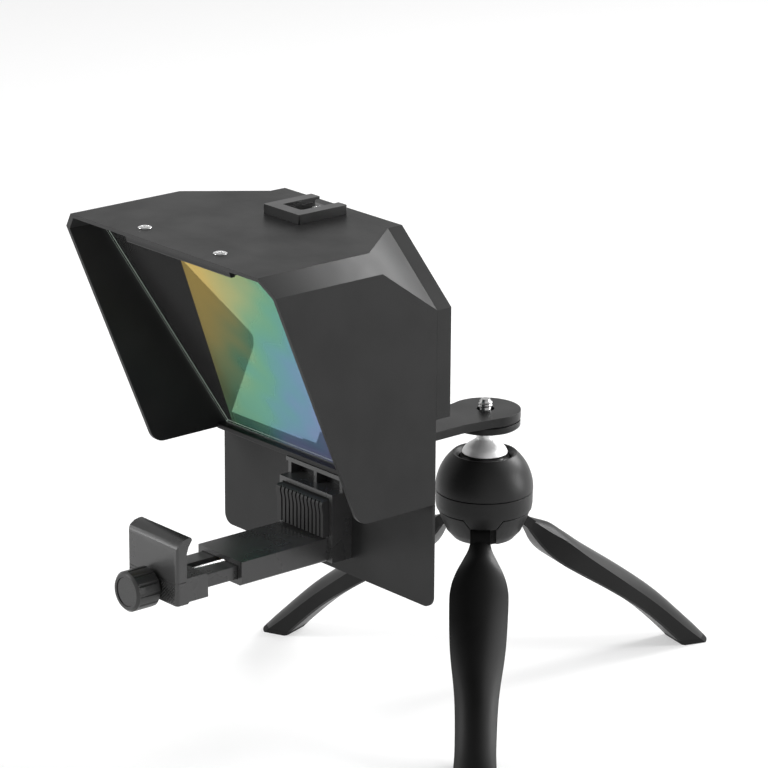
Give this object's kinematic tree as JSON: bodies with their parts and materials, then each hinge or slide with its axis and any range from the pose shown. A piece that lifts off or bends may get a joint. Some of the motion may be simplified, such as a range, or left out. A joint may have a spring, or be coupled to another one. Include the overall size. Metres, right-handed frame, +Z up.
{
  "type": "smartphone teleprompter",
  "caption": "Smartphone teleprompter: grey hood with an inclined part-mirror pane, a screw phone clamp and a turning lens ring, on a camera rail and a small folding tripod.",
  "frame": {"origin": "where the lens axis meets the rear face of the back plate", "axes": "+Y along the lens axis, from the reader towards the camera; +Z up; +X across the hood, to the reader's right when looking along +Y"},
  "size_m": [0.2048, 0.3187, 0.2423],
  "materials": {
    "hood_plastic": "satin, fine moulded grain",
    "black_plastic": "satin",
    "clamp_plastic": "satin, fine grain",
    "knob_plastic": "satin",
    "knob_cap": "gloss",
    "black_metal": "satin black",
    "black_screws": "blackened steel",
    "bright_screws": "nickel plated",
    "beam_splitter": "part mirror coating on the front face",
    "foam": "matt foam",
    "black_aluminium": "black anodised",
    "pad_rubber": "matt, ribbed",
    "foot_rubber": "matt",
    "brass_nut": "machined",
    "steel_rod": "machined",
    "ball_steel": "turned, polished",
    "tripod_aluminium": "black satin coat"
  },
  "bodies": {
    "tripod_base": {"tripod_body": "tripod_aluminium", "tripod_ring": "tripod_aluminium", "leg_pins": "steel_rod", "core_bolt": "steel_rod"},
    "lock_dome": {"lock_dome": "tripod_aluminium"},
    "ball_seat": {"ball_seat": "black_plastic"},
    "head": {"ball_stem": "ball_steel", "camera_screw": "steel_rod", "head_disc": "black_aluminium", "head_disc_pad": "pad_rubber", "camera_rail": "black_aluminium", "camera_rail_screws": "black_screws", "hood_shell": "hood_plastic", "back_plate": "hood_plastic", "rear_frame": "hood_plastic", "rear_frame_screws": "black_screws", "front_brow": "hood_plastic", "brow_screws": "bright_screws", "beam_splitter_glass": "beam_splitter", "glass_foam_tape": "foam", "glass_shelf": "hood_plastic", "cold_shoe": "black_metal", "cold_shoe_screws": "bright_screws", "lens_ring_retainer": "black_plastic", "retainer_screws": "black_screws", "clamp_housing": "clamp_plastic", "clamp_housing_screws": "black_screws", "rear_jaw_pad": "pad_rubber", "clamp_nut": "brass_nut"},
    "lens_ring": {"lens_ring": "black_aluminium"},
    "front_jaw": {"front_jaw": "clamp_plastic", "front_jaw_pad": "pad_rubber"},
    "knob": {"clamp_knob": "knob_plastic", "clamp_knob_cap": "knob_cap", "lead_screw": "steel_rod", "lead_screw_clip": "steel_rod"},
    "leg_front": {"leg_front": "tripod_aluminium", "foot_front": "foot_rubber"},
    "leg_right": {"leg_right": "tripod_aluminium", "foot_right": "foot_rubber"},
    "leg_left": {"leg_left": "tripod_aluminium", "foot_left": "foot_rubber"}
  },
  "joints": [
    {"name": "dome_lock", "type": "hinge", "parent": "tripod_base", "child": "lock_dome", "pos_m": [0, 0.0918, -0.079], "axis": [0, 0, 1], "range_deg": [0, 90]},
    {"name": "head_pan", "type": "hinge", "parent": "tripod_base", "child": "ball_seat", "pos_m": [0, 0.0918, -0.087], "axis": [0, 0, 1], "continuous": true},
    {"name": "head_tilt", "type": "hinge", "parent": "ball_seat", "child": "head", "pos_m": [0, 0.0918, -0.0757], "axis": [1, 0, 0], "range_deg": [-12, 12]},
    {"name": "lens_ring_turn", "type": "hinge", "parent": "head", "child": "lens_ring", "pos_m": [0, 0, 0], "axis": [0, 1, 0], "continuous": true},
    {"name": "jaw_slide", "type": "slide", "parent": "head", "child": "front_jaw", "axis": [0, 1, 0], "range_m": [-0.01, 0.015]},
    {"name": "knob_turn", "type": "hinge", "parent": "front_jaw", "child": "knob", "pos_m": [0, -0.098, -0.0858], "axis": [0, 1, 0], "range_deg": [-1800, 2700]},
    {"name": "leg_front_fold", "type": "hinge", "parent": "tripod_base", "child": "leg_front", "pos_m": [0.01104, 0.08165, -0.097], "axis": [0.6769, 0.7361, 0], "range_deg": [0, 50]},
    {"name": "leg_right_fold", "type": "hinge", "parent": "tripod_base", "child": "leg_right", "pos_m": [0.00327, 0.10644, -0.097], "axis": [-0.9759, 0.2181, 0], "range_deg": [0, 50]},
    {"name": "leg_left_fold", "type": "hinge", "parent": "tripod_base", "child": "leg_left", "pos_m": [-0.01431, 0.08731, -0.097], "axis": [0.299, -0.9542, 0], "range_deg": [0, 50]}
  ],
  "couplings": [
    {"joint": "knob_turn", "follows": "jaw_slide", "rad_per_m": 3141.6}
  ]
}
